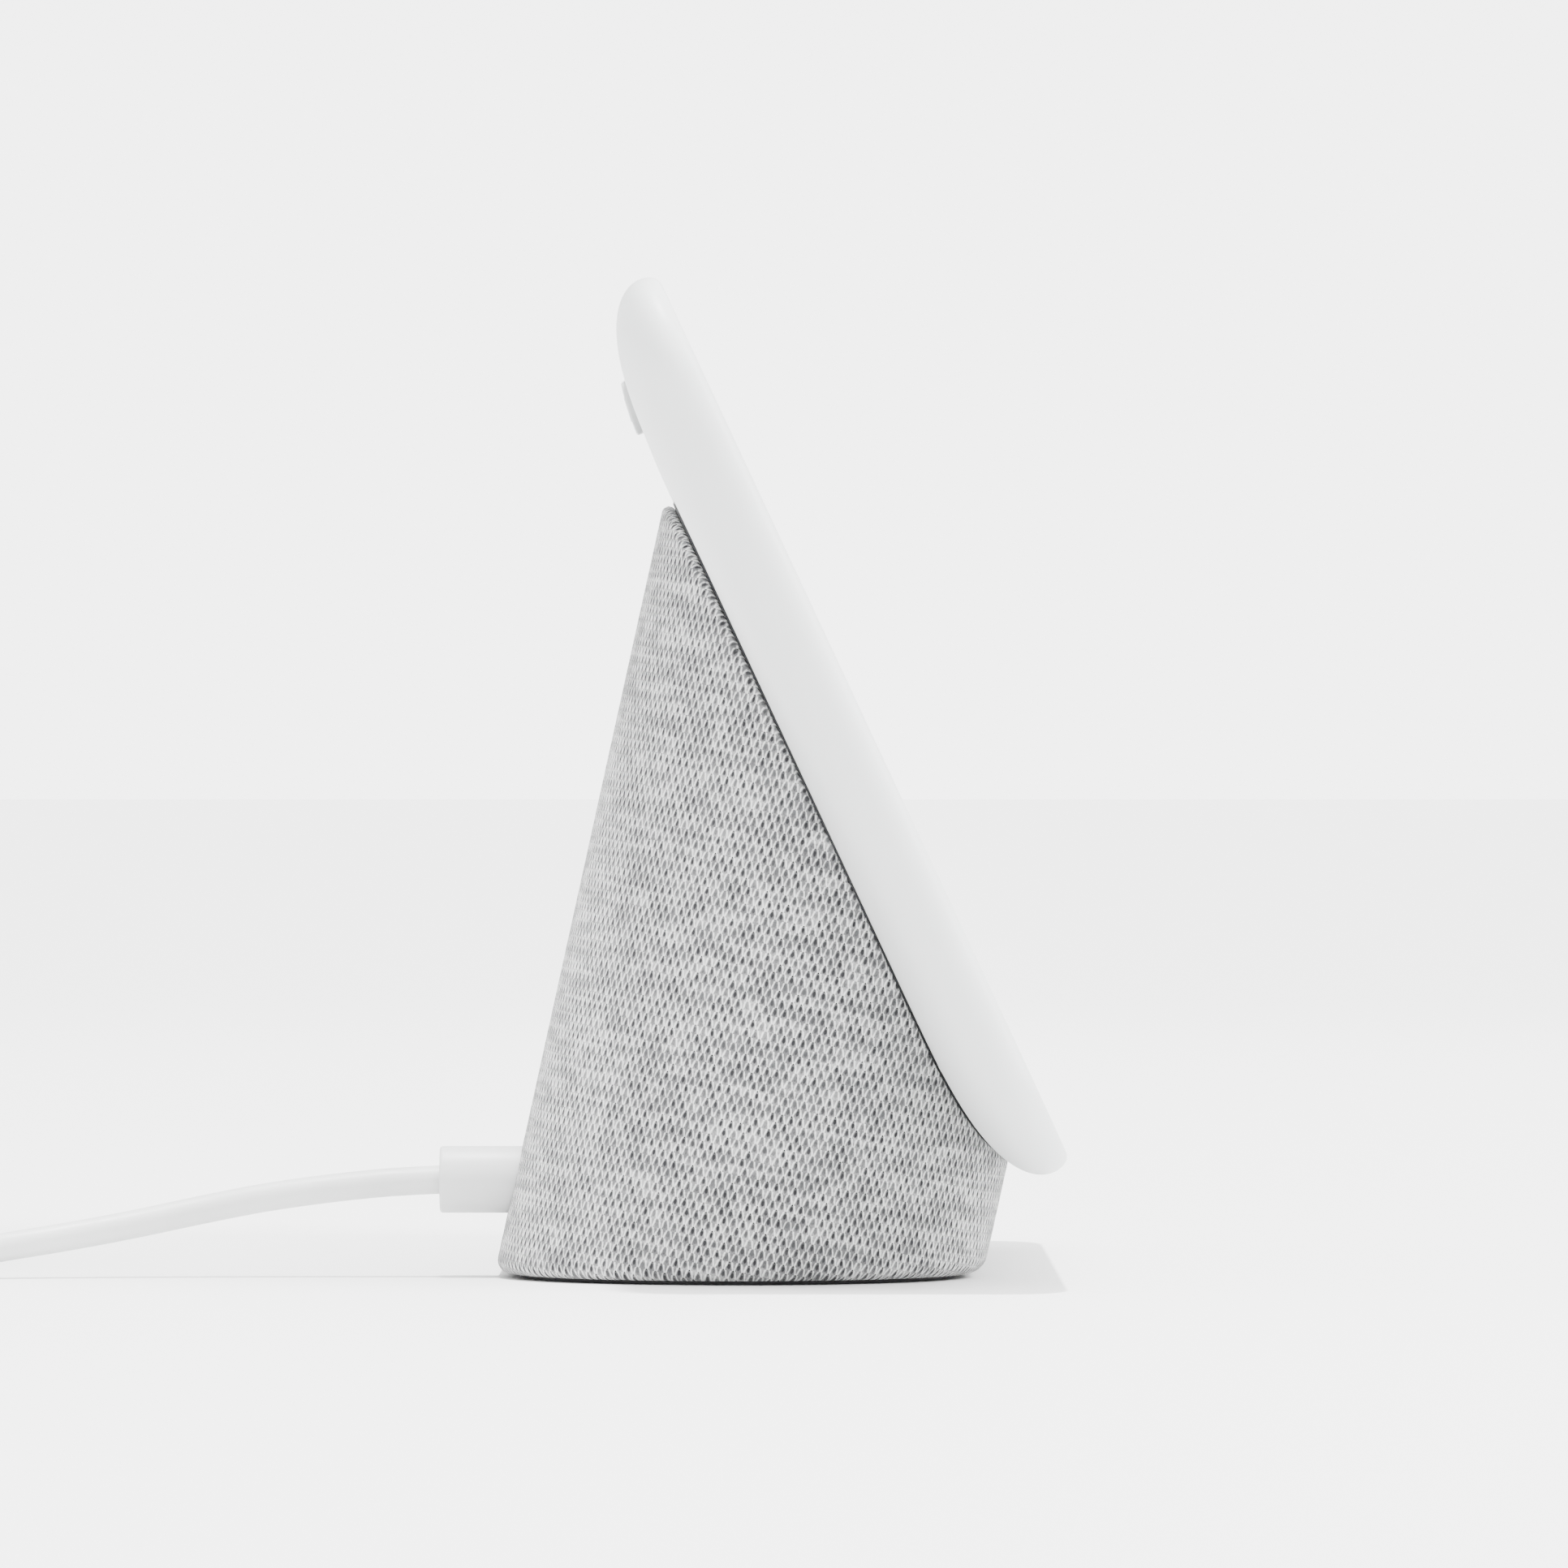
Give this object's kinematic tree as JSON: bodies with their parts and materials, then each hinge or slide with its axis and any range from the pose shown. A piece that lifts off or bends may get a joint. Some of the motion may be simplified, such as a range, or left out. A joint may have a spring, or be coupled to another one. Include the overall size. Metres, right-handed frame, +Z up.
{
  "type": "smart speaker with display",
  "caption": "Tilted touch display plate on a leaning knit-covered speaker base, with a round power plug, its cord and a wall adapter.",
  "frame": {"origin": "middle of the object's footprint box on the table, at the underside of the rubber foot, without the cord", "axes": "+X across the display to the user's right, +Y to the back, where the plug is, +Z up; the screen faces -Y"},
  "size_m": [0.1784, 0.2156, 0.118],
  "materials": {
    "white_plastic": "satin moulded plastic",
    "screen_glass": "polished cover glass over a dark panel",
    "panel_black": "dark panel",
    "stamped_steel": "stamped and zinc plated",
    "board_green": "solder mask",
    "tinned_steel": "tinned can",
    "switch_black": "moulded",
    "ribbon_amber": "polyimide film",
    "heather_knit": "light heather grey knit",
    "shell_plastic": "moulded, unpainted",
    "dark_rubber": "matte",
    "plated_screw": "black zinc",
    "foam_black": "closed-cell foam",
    "pressed_paper": "pressed pulp",
    "spider_cloth": "resin-dipped cloth",
    "ferrite": "sintered",
    "copper_winding": "enamelled winding",
    "nickel": "nickel plated",
    "wire_jacket": "soft jacket",
    "cord_white": "soft white jacket"
  },
  "bodies": {
    "root": {"rear_housing": "white_plastic", "front_glass": "screen_glass", "display_panel": "panel_black", "mid_frame": "stamped_steel", "neck_bracket": "stamped_steel", "ballast_plate": "stamped_steel", "speaker_frame": "stamped_steel", "speaker_top_plate": "stamped_steel", "speaker_yoke": "stamped_steel", "main_board": "board_green", "microphone_board_left": "board_green", "microphone_board_right": "board_green", "light_sensor_board": "board_green", "button_board": "board_green", "power_board": "board_green", "processor_shield": "tinned_steel", "radio_shield": "tinned_steel", "mute_switch_body": "switch_black", "dc_jack": "switch_black", "display_flex": "ribbon_amber", "fabric_sleeve": "heather_knit", "base_shell": "shell_plastic", "base_plate": "shell_plastic", "rubber_foot": "dark_rubber", "speaker_surround": "dark_rubber", "neck_screw_1": "plated_screw", "neck_screw_2": "plated_screw", "neck_screw_3": "plated_screw", "neck_screw_4": "plated_screw", "base_screw_1": "plated_screw", "base_screw_2": "plated_screw", "base_screw_3": "plated_screw", "base_screw_4": "plated_screw", "speaker_screw_1": "plated_screw", "speaker_screw_2": "plated_screw", "speaker_screw_3": "plated_screw", "speaker_screw_4": "plated_screw", "speaker_gasket": "foam_black", "speaker_spider": "spider_cloth", "speaker_magnet": "ferrite", "jack_pin": "nickel", "power_harness": "wire_jacket", "speaker_lead": "wire_jacket"},
    "mute_switch": {"mute_slider": "white_plastic"},
    "volume_key": {"volume_rocker": "white_plastic"},
    "speaker_diaphragm": {"speaker_cone": "pressed_paper", "speaker_dust_cap": "pressed_paper", "voice_coil": "copper_winding"},
    "power_plug": {"plug_overmould": "cord_white", "plug_barrel": "nickel", "power_cord": "cord_white", "cord_coil": "cord_white", "cord_tail": "cord_white", "coil_tie": "dark_rubber", "adapter_relief": "cord_white", "adapter_body": "white_plastic", "adapter_prong_left": "nickel", "adapter_prong_right": "nickel"}
  },
  "joints": [
    {"name": "mute_slide", "type": "slide", "parent": "root", "child": "mute_switch", "axis": [1, 0, 0], "range_m": [-0.0018, 0.0018]},
    {"name": "volume_rock", "type": "hinge", "parent": "root", "child": "volume_key", "pos_m": [0.076, 0.0045, 0.08431], "axis": [1, 0, 0], "range_deg": [-1.8, 1.8], "stiffness_Nm_per_rad": 0.05},
    {"name": "cone_travel", "type": "slide", "parent": "root", "child": "speaker_diaphragm", "axis": [0, 0.9752, 0.2212], "range_m": [-0.0008, 0.0008], "stiffness_N_per_m": 900, "deforming": ["speaker_surround", "speaker_spider"]},
    {"name": "plug_pull", "type": "slide", "parent": "root", "child": "power_plug", "axis": [0, 1, 0], "range_m": [0, 0.012]}
  ]
}
